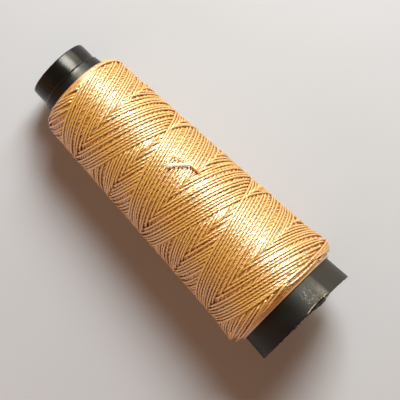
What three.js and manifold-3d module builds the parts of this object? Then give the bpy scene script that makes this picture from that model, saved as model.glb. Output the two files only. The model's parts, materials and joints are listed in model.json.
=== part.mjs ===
// A spool of thread: a tapered plastic tube, cross-wound with one length of twisted thread, lying on its side.
// Millimetres, +Z up. It rests on its thread, with the small end towards +X, and the origin is under its middle.
import * as THREE from "three";
import { mergeVertices } from "three/addons/utils/BufferGeometryUtils.js";
import Module from "manifold-3d";

const wasm = await Module();
wasm.setup();

// ---- Driving sizes. "At" is a distance along the axis from the face of the small end. ----

// The tube: a plain collar at the small end, a small step out, and a cone to the large end.
const TUBE_LENGTH = 100;
const TUBE_WALL = 1.5;
const COLLAR_LENGTH = 5.1;
const COLLAR_RADIUS = 9.47;
const COLLAR_EDGE = 0.6; // rounding of the collar's outer edge
const STEP_LENGTH = 1.1; // from the collar out to the cone
const CONE_SMALL_RADIUS = 9.85;
const CONE_LARGE_RADIUS = 16.42;
const RIM_CHAMFER = 0.25;
const TUBE_SIDES = 48;

// The thread package: inner layers on the tube, and two crossing layers of outer winding.
const THREAD_DIAMETER = 0.9;
const PACKAGE_START_AT = 8.3;
const PACKAGE_END_AT = 92.4;
const SMALL_END_ROUNDING = 3.9; // lengths over which the package's ends round over
const LARGE_END_ROUNDING = 3.5;
const END_FACE_HEIGHT = 0.3; // the package's end stands this much off the tube before it rounds
const LIP_LENGTH = 1.4; // the inner layers' raised lip, beyond the last turn at each end
const INNER_AT_SHOULDER = 0.84; // thickness of the inner layers under the winding: small end,
const INNER_AT_WAIST = 0.36; // the thinnest place,
const INNER_AT_FLARE = 0.9; // and where the package flares at the large end
const WAIST_AT = 80.4;

// The winding: strokes to and fro between the lips.
const STROKE_PAIRS = 5; // strokes out and back; the last pair ends early, at the loose end
const WHOLE_TURNS_PER_PAIR = 5; // and a fifth of a turn more, so that the pairs lie evenly round the package
const TURN_ROUNDING = THREE.MathUtils.degToRad(22); // how far round the package each reversal takes
const CLIMB_START = THREE.MathUtils.degToRad(-6); // where the thread changes layer, seen from its turning point
const CLIMB_END = THREE.MathUtils.degToRad(28);
const LOOP_STEPS = 24;
const THREAD_SIDES = 6;
const RESTING_FLAT = THREAD_DIAMETER / 10; // the thread is flattened this deep where the spool rests on it

// The loose end. Angles go round the axis from the top, positive towards +Y.
const LOOSE_END_AT = 50.2;
const LOOSE_END_ANGLE = THREE.MathUtils.degToRad(-28);
const LOOSE_END_TURN = THREE.MathUtils.degToRad(62); // how far it turns from the hoop direction to the small end
const LOOSE_END_BEND = 1.2; // length of the bend before it, on each side of the corner
const STEM_LENGTH = 3.7; // along the axis, from the winding to the fork
const UPPER_PLY_LENGTH = 5.8; // along the axis, from the fork to the tip
const LOWER_PLY_LENGTH = 5;
const PLY_DIAMETER = 0.6;
const TAIL_SIDES = 8;

// Clearances.
const SEAT_GAP = 0.15; // inner layers to tube, which have matching flats
const BED_GAP = 0.3; // winding to inner layers
const LAYER_GAP = 0.45; // between the two crossing layers of winding
const FACE_GAP = 0.3; // the winding's end to the loose end

// ---- Sizes that follow from those ----

const CONE_START_AT = COLLAR_LENGTH + STEP_LENGTH;
const CONE_TAPER = (CONE_LARGE_RADIUS - CONE_SMALL_RADIUS) / (TUBE_LENGTH - CONE_START_AT);
const SHOULDER_AT = PACKAGE_START_AT + SMALL_END_ROUNDING;
const FLARE_AT = PACKAGE_END_AT - LARGE_END_ROUNDING;
const LAYER_STEP = THREAD_DIAMETER + LAYER_GAP;
const WINDING_DEPTH = THREAD_DIAMETER + LAYER_STEP + BED_GAP; // from the package's surface down to the inner layers
const LIP_TO_THREAD = LIP_LENGTH + BED_GAP + THREAD_DIAMETER / 2;
const FIRST_TURN_AT = PACKAGE_START_AT + LIP_TO_THREAD;
const LAST_TURN_AT = PACKAGE_END_AT - LIP_TO_THREAD;
const STROKE_ANGLE = Math.PI * (WHOLE_TURNS_PER_PAIR + 1 / STROKE_PAIRS);
const FULL_STROKES = 2 * (STROKE_PAIRS - 1);
const LEAD_PER_RADIAN = (LAST_TURN_AT - FIRST_TURN_AT) / (STROKE_ANGLE - TURN_ROUNDING);
const STEP_ANGLE = (2 * Math.PI) / LOOP_STEPS;
const FLAT_TURN = STEP_ANGLE / 2; // turns the flats so that one faces straight down

const AXIS = new THREE.Vector3(0, 1, 0); // the spool is built upright round this axis and then laid down

// ---- Shared outlines ----

function coneRadius(at) {
  return CONE_SMALL_RADIUS + CONE_TAPER * (at - CONE_START_AT);
}

function seatRadius(at) {
  return coneRadius(at) + SEAT_GAP;
}

// The inner layers' thickness under the winding: straight to the waist, then a smooth flare.
function innerThickness(at) {
  if (at < WAIST_AT) {
    const share = (at - SHOULDER_AT) / (WAIST_AT - SHOULDER_AT);
    return THREE.MathUtils.lerp(INNER_AT_SHOULDER, INNER_AT_WAIST, share);
  }
  return THREE.MathUtils.lerp(INNER_AT_WAIST, INNER_AT_FLARE, THREE.MathUtils.smoothstep(at, WAIST_AT, FLARE_AT));
}

// The package's height off the tube, with its ends rounded over as quarter ellipses.
function packageRadius(at) {
  const height = innerThickness(at) + WINDING_DEPTH;
  const intoSmallEnd = Math.max(0, SHOULDER_AT - at) / SMALL_END_ROUNDING;
  const intoLargeEnd = Math.max(0, at - FLARE_AT) / LARGE_END_ROUNDING;
  const into = Math.min(1, intoSmallEnd + intoLargeEnd);
  return seatRadius(at) + END_FACE_HEIGHT + (height - END_FACE_HEIGHT) * Math.sqrt(1 - into * into);
}

function bedRadius(at) {
  return packageRadius(at) - WINDING_DEPTH;
}

// A point at this angle and radius round the axis.
function cylindrical(radius, angle, at) {
  return new THREE.Vector3(radius * Math.sin(angle), at, radius * Math.cos(angle));
}

// A point of a thread's centre line, given by its height over the package's surface.
function overPackage(at, angle, height) {
  return cylindrical(packageRadius(at) + height, angle, at);
}

// ---- Solids ----

function solidOf(geometry) {
  const bare = new THREE.BufferGeometry();
  bare.setAttribute("position", geometry.getAttribute("position"));
  bare.setIndex(geometry.getIndex());
  const merged = mergeVertices(bare, 1e-4);
  const mesh = new wasm.Mesh({
    numProp: 3,
    vertProperties: new Float32Array(merged.getAttribute("position").array),
    triVerts: new Uint32Array(merged.getIndex().array),
  });
  return new wasm.Manifold(mesh);
}

function geometryOf(solid) {
  const { vertProperties, triVerts } = solid.getMesh();
  const geometry = new THREE.BufferGeometry();
  geometry.setAttribute("position", new THREE.BufferAttribute(vertProperties, 3));
  geometry.setIndex(new THREE.BufferAttribute(triVerts, 1));
  geometry.computeVertexNormals();
  return geometry;
}

// A solid of revolution from [radius, at] points listed anticlockwise, seen with the radius to the right.
function turned(outline, sides) {
  const points = outline.map(([radius, at]) => new THREE.Vector2(radius, at));
  return new THREE.LatheGeometry(points, sides, FLAT_TURN);
}

// One unbroken cord along a centre line: a ring of points round each of its points, and a flat face at each end.
function cordGeometry(line, radius, sides) {
  const positions = [];
  const triangles = [];
  line.forEach((point, i) => {
    const ahead = line[Math.min(i + 1, line.length - 1)];
    const behind = line[Math.max(i - 1, 0)];
    const tangent = ahead.clone().sub(behind).normalize();
    const across = AXIS.clone().addScaledVector(tangent, -AXIS.dot(tangent)).normalize();
    const outward = across.clone().cross(tangent);
    for (let k = 0; k < sides; k += 1) {
      const angle = (2 * Math.PI * (k + 0.5)) / sides;
      const corner = point.clone();
      corner.addScaledVector(across, radius * Math.cos(angle));
      corner.addScaledVector(outward, radius * Math.sin(angle));
      positions.push(corner.x, corner.y, corner.z);
    }
  });
  for (let ring = 0; ring + 1 < line.length; ring += 1) {
    for (let k = 0; k < sides; k += 1) {
      const a = ring * sides + k;
      const b = ring * sides + ((k + 1) % sides);
      triangles.push(a, a + sides, b, b, a + sides, b + sides);
    }
  }
  const last = (line.length - 1) * sides;
  for (let k = 1; k + 1 < sides; k += 1) {
    triangles.push(0, k, k + 1, last, last + k + 1, last + k);
  }
  const geometry = new THREE.BufferGeometry();
  geometry.setAttribute("position", new THREE.Float32BufferAttribute(positions, 3));
  geometry.setIndex(triangles);
  return geometry;
}

// ---- The tube ----

function tubeGeometry() {
  const outline = [
    [COLLAR_RADIUS - TUBE_WALL, 0],
    [COLLAR_RADIUS - COLLAR_EDGE, 0],
  ];
  const edgeSteps = 3;
  for (let i = 1; i <= edgeSteps; i += 1) {
    const turn = (Math.PI / 2) * (i / edgeSteps);
    const inset = COLLAR_EDGE * (1 - Math.sin(turn));
    outline.push([COLLAR_RADIUS - inset, COLLAR_EDGE * (1 - Math.cos(turn))]);
  }
  outline.push(
    [COLLAR_RADIUS, COLLAR_LENGTH],
    [CONE_SMALL_RADIUS, CONE_START_AT],
    [coneRadius(TUBE_LENGTH - RIM_CHAMFER), TUBE_LENGTH - RIM_CHAMFER],
    [CONE_LARGE_RADIUS - RIM_CHAMFER, TUBE_LENGTH],
    [CONE_LARGE_RADIUS - TUBE_WALL, TUBE_LENGTH],
    [CONE_SMALL_RADIUS - TUBE_WALL, CONE_START_AT],
    [COLLAR_RADIUS - TUBE_WALL, COLLAR_LENGTH],
    [COLLAR_RADIUS - TUBE_WALL, 0],
  );
  return turned(outline, TUBE_SIDES);
}

// ---- The inner layers ----

// The outer side has the winding's flats, and the bore has the tube's.
function innerLayersGeometry() {
  const lipSteps = 4;
  const bedSteps = 8;
  const smallLipAt = PACKAGE_START_AT + LIP_LENGTH;
  const largeLipAt = PACKAGE_END_AT - LIP_LENGTH;
  const outline = [[0, PACKAGE_START_AT]];
  for (let i = 0; i <= lipSteps; i += 1) {
    const at = PACKAGE_START_AT + LIP_LENGTH * (i / lipSteps) ** 2;
    outline.push([packageRadius(at), at]);
  }
  const bedAt = [smallLipAt, FIRST_TURN_AT, SHOULDER_AT, WAIST_AT];
  for (let i = 1; i <= bedSteps; i += 1) {
    bedAt.push(THREE.MathUtils.lerp(WAIST_AT, largeLipAt, i / bedSteps));
  }
  bedAt.forEach((at) => outline.push([bedRadius(at), at]));
  for (let i = lipSteps; i >= 0; i -= 1) {
    const at = PACKAGE_END_AT - LIP_LENGTH * (i / lipSteps) ** 2;
    outline.push([packageRadius(at), at]);
  }
  outline.push([0, PACKAGE_END_AT]);
  const bore = turned(
    [
      [0, PACKAGE_START_AT - 1],
      [seatRadius(PACKAGE_START_AT - 1), PACKAGE_START_AT - 1],
      [seatRadius(PACKAGE_END_AT + 1), PACKAGE_END_AT + 1],
      [0, PACKAGE_END_AT + 1],
    ],
    TUBE_SIDES,
  );
  return geometryOf(solidOf(turned(outline, LOOP_STEPS)).subtract(solidOf(bore)));
}

// ---- The outer winding ----

// How far along the axis a reversal has carried the thread, in radians of plain travel.
function roundedTurn(past) {
  const away = Math.abs(past);
  const rounded = away > TURN_ROUNDING ? away : (away * away + TURN_ROUNDING ** 2) / (2 * TURN_ROUNDING);
  return rounded - TURN_ROUNDING / 2;
}

// Where the thread is once it has turned by this angle since it first left the large end.
// It goes to the small end in the upper layer and comes back in the lower one.
function windingPlace(turnedBy) {
  const turningPoint = Math.round(turnedBy / STROKE_ANGLE);
  const past = turnedBy - turningPoint * STROKE_ANGLE;
  const travel = LEAD_PER_RADIAN * roundedTurn(past);
  const atLargeEnd = turningPoint % 2 === 0;
  const at = atLargeEnd ? LAST_TURN_AT - travel : FIRST_TURN_AT + travel;
  const intoLowerStroke = atLargeEnd ? -past : past;
  const sunk = THREE.MathUtils.smoothstep(intoLowerStroke, CLIMB_START, CLIMB_END);
  return { at, height: -THREAD_DIAMETER / 2 - sunk * LAYER_STEP };
}

function bend(from, corner, to, steps) {
  return new THREE.QuadraticBezierCurve3(from, corner, to).getPoints(steps);
}

// The direction in which the thread leaves the winding, where it lies on the package's surface.
function looseEndPoint(beyond) {
  const arc = beyond * Math.cos(LOOSE_END_TURN);
  const angle = LOOSE_END_ANGLE + arc / packageRadius(LOOSE_END_AT);
  return overPackage(LOOSE_END_AT - beyond * Math.sin(LOOSE_END_TURN), angle, -THREAD_DIAMETER / 2);
}

function windingLine() {
  // The corner before the loose end fixes where the whole winding starts.
  const cornerBack = THREAD_DIAMETER + LOOSE_END_BEND;
  const corner = looseEndPoint(-cornerBack);
  const cornerAngle = Math.atan2(corner.x, corner.z);
  const lastTravel = (LAST_TURN_AT - corner.y) / LEAD_PER_RADIAN;
  const cornerTurned = FULL_STROKES * STROKE_ANGLE + lastTravel + TURN_ROUNDING / 2;
  const startAngle = cornerAngle - cornerTurned;
  const onWinding = (angle) => {
    const { at, height } = windingPlace(angle - startAngle);
    return overPackage(at, angle, height);
  };

  // It rises square from the inner layers at the large end, and bends over into the first stroke.
  const foot = cylindrical(bedRadius(LAST_TURN_AT) + BED_GAP, startAngle, LAST_TURN_AT);
  const top = overPackage(LAST_TURN_AT, startAngle, -THREAD_DIAMETER / 2);
  const riser = foot.clone().lerp(top, THREAD_DIAMETER / foot.distanceTo(top));
  const riserBend = top.distanceTo(riser) / Math.hypot(top.x, top.z);
  const line = [foot, ...bend(riser, top, onWinding(startAngle + riserBend), 3)];

  // The strokes, at the angles of the package's flats.
  const bendAngle = LOOSE_END_BEND / packageRadius(LOOSE_END_AT);
  const lastAngle = cornerAngle - bendAngle;
  const firstFlat = Math.ceil((startAngle + 2 * riserBend - FLAT_TURN) / STEP_ANGLE);
  for (let flat = firstFlat; FLAT_TURN + flat * STEP_ANGLE < lastAngle - bendAngle; flat += 1) {
    line.push(onWinding(FLAT_TURN + flat * STEP_ANGLE));
  }

  // It bends towards the small end and runs straight up to the loose end.
  line.push(...bend(onWinding(lastAngle), corner, looseEndPoint(-THREAD_DIAMETER), 3), looseEndPoint(0));
  return line;
}

// The least gap between stretches of the thread that lie over a quarter of a loop apart along it.
function leastGap(line) {
  const pointsPerStep = 8;
  const points = [];
  line.slice(1).forEach((end, i) => {
    for (let k = 0; k < pointsPerStep; k += 1) {
      points.push(line[i].clone().lerp(end, k / pointsPerStep));
    }
  });
  const apart = (pointsPerStep * LOOP_STEPS) / 4;
  let least = Infinity;
  for (let i = 0; i < points.length; i += 1) {
    for (let k = i + apart; k < points.length; k += 1) {
      least = Math.min(least, points[i].distanceToSquared(points[k]));
    }
  }
  return Math.sqrt(least) - THREAD_DIAMETER;
}

// ---- The loose end ----

// A short cord towards the small end. Its points are given as the share of its length along the axis,
// the angle in degrees and the height over the package in thread diameters.
function strandCurve(startAt, length, points, from) {
  const through = points.map(([share, angle, height]) => {
    return overPackage(startAt - share * length, THREE.MathUtils.degToRad(angle), height * THREAD_DIAMETER);
  });
  return new THREE.CatmullRomCurve3([...from, ...through]);
}

function strand(curve, radius) {
  const section = new THREE.Shape();
  section.absarc(0, 0, radius, 0, 2 * Math.PI, false);
  const geometry = new THREE.ExtrudeGeometry(section, {
    steps: 4 * curve.points.length,
    curveSegments: TAIL_SIDES,
    extrudePath: curve,
  });
  return solidOf(geometry);
}

function tailGeometry() {
  const root = [looseEndPoint(FACE_GAP), looseEndPoint(FACE_GAP + THREAD_DIAMETER)];
  const stem = strandCurve(LOOSE_END_AT, STEM_LENGTH, [[0.62, -23.5, 0.33], [1, -21, 0.67]], root);
  const fork = stem.points.slice(-1);
  const forkAt = LOOSE_END_AT - STEM_LENGTH;
  const upperPoints = [[0.29, -20, 0.94], [0.67, -19.5, 0.89], [1, -19, 0.56]];
  const lowerPoints = [[0.32, -17, 0.94], [0.68, -12.5, 0.89], [1, -9, 0.56]];
  const upperPly = strandCurve(forkAt, UPPER_PLY_LENGTH, upperPoints, fork);
  const lowerPly = strandCurve(forkAt, LOWER_PLY_LENGTH, lowerPoints, fork);
  const plies = strand(upperPly, PLY_DIAMETER / 2).add(strand(lowerPly, PLY_DIAMETER / 2));
  return geometryOf(strand(stem, THREAD_DIAMETER / 2).add(plies));
}

// ---- Laying the spool down ----

// The tilt at which the floor touches the thread on both sides of its middle, from the upright part's underside.
function restingTilt(points) {
  const middle = (FIRST_TURN_AT + LAST_TURN_AT) / 2;
  let foot = points.reduce((lowest, point) => (point.z < lowest.z ? point : lowest));
  let tilt = 0;
  while (foot.y > middle) {
    const held = foot;
    const rise = (point) => Math.atan2(point.z - held.z, held.y - point.y);
    const nearer = points.filter((point) => point.y < held.y - THREAD_DIAMETER);
    foot = nearer.reduce((next, point) => (rise(point) < rise(next) ? point : next));
    tilt = rise(foot);
  }
  return tilt;
}

function pointsOf(geometry) {
  const position = geometry.getAttribute("position");
  return Array.from({ length: position.count }, (_, i) => new THREE.Vector3().fromBufferAttribute(position, i));
}

// The floor as a block under z = 0, in the coordinates of the laid-down part.
function floorBlock(part) {
  const side = 4 * TUBE_LENGTH;
  const block = new THREE.BoxGeometry(side, side, side).translate(0, 0, -side / 2);
  part.updateMatrixWorld(true);
  return solidOf(block.applyMatrix4(part.matrixWorld.clone().invert()));
}

function named(name, geometry, color, roughness) {
  const mesh = new THREE.Mesh(geometry, new THREE.MeshStandardMaterial({ color, roughness, metalness: 0 }));
  mesh.name = name;
  return mesh;
}

// ---- The object ----

const centreLine = windingLine();
const roundWinding = cordGeometry(centreLine, THREAD_DIAMETER / 2, THREAD_SIDES);
const loops = centreLine.length / LOOP_STEPS;
console.log(`${loops.toFixed(1)} loops, least gap to itself ${leastGap(centreLine).toFixed(2)} mm`);

const spool = new THREE.Group();
spool.rotation.set(0, restingTilt(pointsOf(roundWinding)), Math.PI / 2);
spool.updateMatrixWorld(true);
const lowest = Math.min(...pointsOf(roundWinding).map((point) => point.applyMatrix4(spool.matrixWorld).z));
spool.position.z = -lowest - RESTING_FLAT;
const flattenedWinding = geometryOf(solidOf(roundWinding).subtract(floorBlock(spool)));

spool.add(named("cone_tube", tubeGeometry(), 0x1c1b1a, 0.4));
spool.add(named("thread_inner_layers", innerLayersGeometry(), 0xb98a4e, 0.7));
spool.add(named("thread_outer_winding", flattenedWinding, 0xdfb06c, 0.55));
spool.add(named("thread_tail", tailGeometry(), 0xe8c184, 0.6));

const group = new THREE.Group();
group.add(spool);
group.updateMatrixWorld(true);
const middle = new THREE.Box3().setFromObject(group, true).getCenter(new THREE.Vector3());
spool.position.x = -middle.x;
spool.position.y = -middle.y;

export default group;
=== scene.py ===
"""A spool of thread lying on its side: its finished surfaces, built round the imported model. Metres, +Z up.

The thread is wound here as it is on a real cone. Stroke after stroke is laid on a height map of the package,
each one over what is already there, and the last layers become one long twisted thread.
"""

import json
import math

import bpy
import numpy as np
from mathutils import Matrix, Vector


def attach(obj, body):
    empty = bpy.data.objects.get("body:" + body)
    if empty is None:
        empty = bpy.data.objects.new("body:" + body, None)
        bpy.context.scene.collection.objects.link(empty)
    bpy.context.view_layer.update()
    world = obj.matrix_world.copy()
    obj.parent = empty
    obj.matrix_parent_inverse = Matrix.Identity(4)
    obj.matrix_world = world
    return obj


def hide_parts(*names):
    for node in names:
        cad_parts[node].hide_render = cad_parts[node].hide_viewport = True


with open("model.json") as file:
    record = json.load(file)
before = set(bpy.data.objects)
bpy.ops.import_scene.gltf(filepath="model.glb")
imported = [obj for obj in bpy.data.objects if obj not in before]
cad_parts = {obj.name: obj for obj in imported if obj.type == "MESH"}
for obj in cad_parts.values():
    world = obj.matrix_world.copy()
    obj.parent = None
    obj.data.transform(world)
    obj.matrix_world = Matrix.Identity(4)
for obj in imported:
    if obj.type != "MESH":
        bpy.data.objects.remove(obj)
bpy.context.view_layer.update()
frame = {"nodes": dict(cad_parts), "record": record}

MM = 0.001
DEG = math.pi / 180
TURN = 2 * math.pi
random = np.random.default_rng(7)

# ---- Sizes of the spool. "At" is a distance along the axis from the face of the small end. ----

TUBE_LENGTH = 100 * MM
TUBE_WALL = 1.5 * MM
COLLAR_LENGTH = 5.1 * MM
COLLAR_RADIUS = 9.47 * MM
COLLAR_EDGE = 0.35 * MM
CONE_START_AT = 6.2 * MM
CONE_SMALL_RADIUS = 9.85 * MM
CONE_LARGE_RADIUS = 16.42 * MM
RIM_EDGE = 0.25 * MM

PACKAGE_START_AT = 8.3 * MM
PACKAGE_END_AT = 92.4 * MM
SMALL_END_ROUNDING = 3.9 * MM
LARGE_END_ROUNDING = 3.8 * MM
SMALL_END_SOFTNESS = 0.65  # 0.5 makes the rounding a quarter ellipse, and 1 a parabola
LARGE_END_SOFTNESS = 0.85
END_FACE_HEIGHT = 0.3 * MM
WAIST_AT = 80.4 * MM
DEPTH_AT_SHOULDER = 3.54 * MM  # of thread on the tube, at the small end,
DEPTH_AT_WAIST = 3.06 * MM  # at its thinnest
DEPTH_AT_FLARE = 3.6 * MM  # and at the large end
SEAT_GAP = 0.15 * MM

SHOULDER_AT = PACKAGE_START_AT + SMALL_END_ROUNDING
FLARE_AT = PACKAGE_END_AT - LARGE_END_ROUNDING
RESTING_HEIGHT = 0.02 * MM  # over the floor; what would reach lower is pressed flat there

# ---- Sizes of the thread and its winding ----

THREAD_WIDTH = 0.71 * MM
THREAD_HEIGHT = 0.67 * MM  # it lies a little flattened
TWIST_LENGTH = 4.6 * MM  # in which the three plies go once round each other
PLIES = 3
LEAD = 28.25 * MM  # along the axis, in one turn of the spool
SMALL_CORNER_AT = 8.2 * MM  # where straight strokes would meet if the reversals were sharp
LARGE_CORNER_AT = 93.6 * MM
TURNS_PER_STROKE = 3
STROKE_ADVANCE = 12.7 * DEG  # how far round a pair of strokes lands from the pair before
SMALL_REVERSAL = (16 * DEG, 44 * DEG)  # how far round the package a reversal takes, on each side
LARGE_REVERSAL = (52 * DEG, 92 * DEG)
NEWEST_ANGLE = -48 * DEG  # where the newest pair of strokes starts from the large end
HIDDEN_PAIRS = 24
VISIBLE_PAIRS = 38


# ---- Small tools ----

def smoothstep(x, low, high):
    """0 up to the low value, 1 from the high one, and smooth between them."""
    share = np.clip((x - low) / (high - low), 0, 1)
    return share * share * (3 - 2 * share)


def unit(vectors):
    return vectors / np.linalg.norm(vectors, axis=1, keepdims=True)


def directions(line):
    """The unit direction of a line at each of its points."""
    return unit(np.gradient(line, axis=0))


def lengths_along(line):
    """The distance along a line at each of its points."""
    step = np.linalg.norm(np.diff(line, axis=0), axis=1)
    return np.concatenate([[0], np.cumsum(step)])


def face_centre(node, direction):
    """The centre of a node's end face: the mean of its vertices that lie furthest in this direction."""
    points = np.array([v.co for v in frame["nodes"][node].data.vertices])
    reach = points @ np.array(direction)
    return Vector(points[reach > reach.max() - 0.01 * MM].mean(axis=0))


def new_object(name, data):
    """An object with this data, in the scene."""
    thing = bpy.data.objects.new(name, data)
    bpy.context.scene.collection.objects.link(thing)
    return thing


def mesh_piece(name, points, faces, material):
    """A smooth mesh object from an array of points and an array of faces with the same number of corners."""
    points = np.array(points, dtype=np.float32).reshape(-1, 3)
    points[:, 2] = np.maximum(points[:, 2], RESTING_HEIGHT)
    faces = np.asarray(faces, dtype=np.int32)
    corners = faces.shape[1]
    mesh = bpy.data.meshes.new(name)
    mesh.vertices.add(len(points))
    mesh.vertices.foreach_set("co", points.ravel())
    mesh.loops.add(faces.size)
    mesh.loops.foreach_set("vertex_index", faces.ravel())
    mesh.polygons.add(len(faces))
    mesh.polygons.foreach_set("loop_start", np.arange(0, faces.size, corners, dtype=np.int32))
    mesh.polygons.foreach_set("use_smooth", np.full(len(faces), True))
    mesh.update(calc_edges=True)
    mesh.materials.append(material)
    return new_object(name, mesh)


def add_map(piece, name, values):
    """A UV map with these values at the corners of the faces."""
    layer = piece.data.uv_layers.new(name=name)
    layer.data.foreach_set("uv", np.asarray(values, dtype=np.float32).ravel())


def ring_faces(rings, sides, closed_rings=False):
    """Quads between rings of points. The rings close on each other too if the shape is a torus."""
    ring = np.arange(rings if closed_rings else rings - 1)[:, None]
    side = np.arange(sides)[None, :]
    after = (ring + 1) % rings
    next_side = (side + 1) % sides
    corners = [ring * sides + side, ring * sides + next_side, after * sides + next_side, after * sides + side]
    return np.stack(np.broadcast_arrays(*corners), axis=-1).reshape(-1, 4)


def ring_map(rings, sides, closed_rings=False):
    """For each corner of ring_faces, its ring and side.

    Both are counted on past the last ones where the shape closes."""
    ring = np.arange(rings if closed_rings else rings - 1)[:, None]
    side = np.arange(sides)[None, :]
    corners = [(ring, side), (ring, side + 1), (ring + 1, side + 1), (ring + 1, side)]
    pairs = [np.stack(np.broadcast_arrays(*corner), axis=-1) for corner in corners]
    return np.stack(pairs, axis=2).reshape(-1, 4, 2).astype(float)


def end_faces(rings, sides):
    """Quads across the first and the last ring of a tube with an even number of sides."""
    across = np.array([[k, k + 1, sides - 2 - k, sides - 1 - k] for k in range(sides // 2 - 1)])
    return np.concatenate([across[:, ::-1], across + (rings - 1) * sides])


def closed_tube(rings, sides):
    """The faces of a tube that is closed at both ends, and the ring and side of each of their corners."""
    ends = end_faces(rings, sides)
    end_corners = np.stack([ends // sides, ends % sides], axis=-1)
    faces = np.concatenate([ring_faces(rings, sides), ends])
    return faces, np.concatenate([ring_map(rings, sides), end_corners])


# ---- The spool's axis, taken from the frame ----

mounts = {mount["name"]: mount for mount in frame["record"]["mounts"]}
TO_SMALL_END = Vector(mounts["small_end_rim"]["axis"]).normalized()
ALONG = -TO_SMALL_END
SMALL_FACE = face_centre("cone_tube", TO_SMALL_END)
SIDE = Vector((0, 1, 0))
TOP = ALONG.cross(SIDE) if ALONG.cross(SIDE).z > 0 else SIDE.cross(ALONG)


def placed(at, radius, angle):
    """Points in the frame. Angles go round the axis from the top, positive towards +Y."""
    at, radius, angle = np.broadcast_arrays(at, radius, angle)
    out = np.sin(angle)[..., None] * np.array(SIDE) + np.cos(angle)[..., None] * np.array(TOP)
    return np.array(SMALL_FACE) + at[..., None] * np.array(ALONG) + radius[..., None] * out


def cone_radius(at):
    """The radius of the tube's outside, along the cone."""
    taper = (CONE_LARGE_RADIUS - CONE_SMALL_RADIUS) / (TUBE_LENGTH - CONE_START_AT)
    return CONE_SMALL_RADIUS + taper * (at - CONE_START_AT)


# ---- The package's outline ----

ROUNDING_POINTS = 80
SLOPE_POINTS = 900


def package_radius(at):
    """Thread on a cone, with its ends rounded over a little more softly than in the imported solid."""
    slope = (at - SHOULDER_AT) / (WAIST_AT - SHOULDER_AT)
    depth = DEPTH_AT_SHOULDER + (DEPTH_AT_WAIST - DEPTH_AT_SHOULDER) * slope
    flare = DEPTH_AT_WAIST + (DEPTH_AT_FLARE - DEPTH_AT_WAIST) * smoothstep(at, WAIST_AT, FLARE_AT)
    depth = np.where(at < WAIST_AT, depth, flare)
    into_small_end = np.maximum(0, SHOULDER_AT - at) / SMALL_END_ROUNDING
    into_large_end = np.maximum(0, at - FLARE_AT) / LARGE_END_ROUNDING
    into = np.minimum(1, into_small_end + into_large_end)
    softness = np.where(at < WAIST_AT, SMALL_END_SOFTNESS, LARGE_END_SOFTNESS)
    height = END_FACE_HEIGHT + (depth - END_FACE_HEIGHT) * (1 - into * into) ** softness
    return cone_radius(at) + SEAT_GAP + height


class Outline:
    """The package's outline as a curve, measured by the distance along it from its foot at the small end."""

    def __init__(self):
        turn = np.linspace(0, math.pi / 2, ROUNDING_POINTS)
        small_end = SHOULDER_AT - SMALL_END_ROUNDING * np.cos(turn)
        large_end = FLARE_AT + LARGE_END_ROUNDING * np.sin(turn)
        slope = np.linspace(SHOULDER_AT, FLARE_AT, SLOPE_POINTS)
        self.at = np.concatenate([small_end, slope[1:-1], large_end])
        self.radius = package_radius(self.at)
        step = np.hypot(np.diff(self.at), np.diff(self.radius))
        self.run = np.concatenate([[0], np.cumsum(step)])
        slope_at = np.gradient(self.at, self.run)
        slope_radius = np.gradient(self.radius, self.run)
        size = np.hypot(slope_at, slope_radius)
        self.normal_at = -slope_radius / size
        self.normal_radius = slope_at / size

    def point(self, run, height):
        """Place along the axis and radius of a point at this height over the outline."""
        at = np.interp(run, self.run, self.at) + height * np.interp(run, self.run, self.normal_at)
        radius = np.interp(run, self.run, self.radius) + height * np.interp(run, self.run, self.normal_radius)
        return at, radius


# ---- Winding ----

COLUMNS = 720  # of the height map, round the package
ROW = 0.1 * MM  # of the height map, along the outline
TOUCHING = 0.86  # neighbours press each other to this share of their width
PRESSED = 0.75  # and a crossing thread sinks to this share of its height over the one below
HELIX_COSINE = 0.955  # of the angle between the thread and the straight way round the package
BRIDGE_RADIUS = 15 * MM  # a taut thread keeps at least this curve, so it bridges the gaps under it
BRIDGE_COLUMNS = 40
SOFTENED_COLUMNS = 9  # an odd number, over which a taut thread's bends are softened
GAPS = 0.30  # the share of strokes that leave a gap beside the stroke before
GAP = 9 * DEG  # how far round the package a usual gap reaches
WIDE = (0.7, 1.3)  # the range of gaps, as shares of the usual one,
NARROW = (0, 0.12)  # and of what the other strokes leave
GAPS_EVENED_OVER = 15  # pairs, an odd number, so that the pattern keeps its place
ROUNDING_DRIFT = 0.37  # how fast the reversals' rounding changes from corner to corner, in radians
ROUNDING_JITTER = 0.08
CREST_REACH = 0.8 * MM  # the crests, with the gaps narrower than twice this bridged, make the package's level
LEVEL_BLUR = 0.4 * MM
STICKING_OUT = 0.18 * MM  # the most that a thread stands over its level
SINKING = 0.85 * MM  # the most that it lies under that
CREST_HEIGHT = 0.06 * MM  # of the level over the outline
WAVER = 0.05 * MM  # how far a stroke strays from a perfect helix, in each of these waves
WAVER_WAVES = 6
WAVER_RANGE = (3.1, 17.0)  # waves in a stroke
END_TURNS_DEPTH = 0.45 * MM  # of the turns on the package's ends, under the outline
END_TURNS_WAVER = 0.15 * MM
END_TURNS_WAVES = (0.9, 1.7, 2.6)  # in a turn
END_TURNS_SWAY = 0.05 * MM  # in and out,
SWAY_WAVES = 2.3  # this often in a turn


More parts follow.
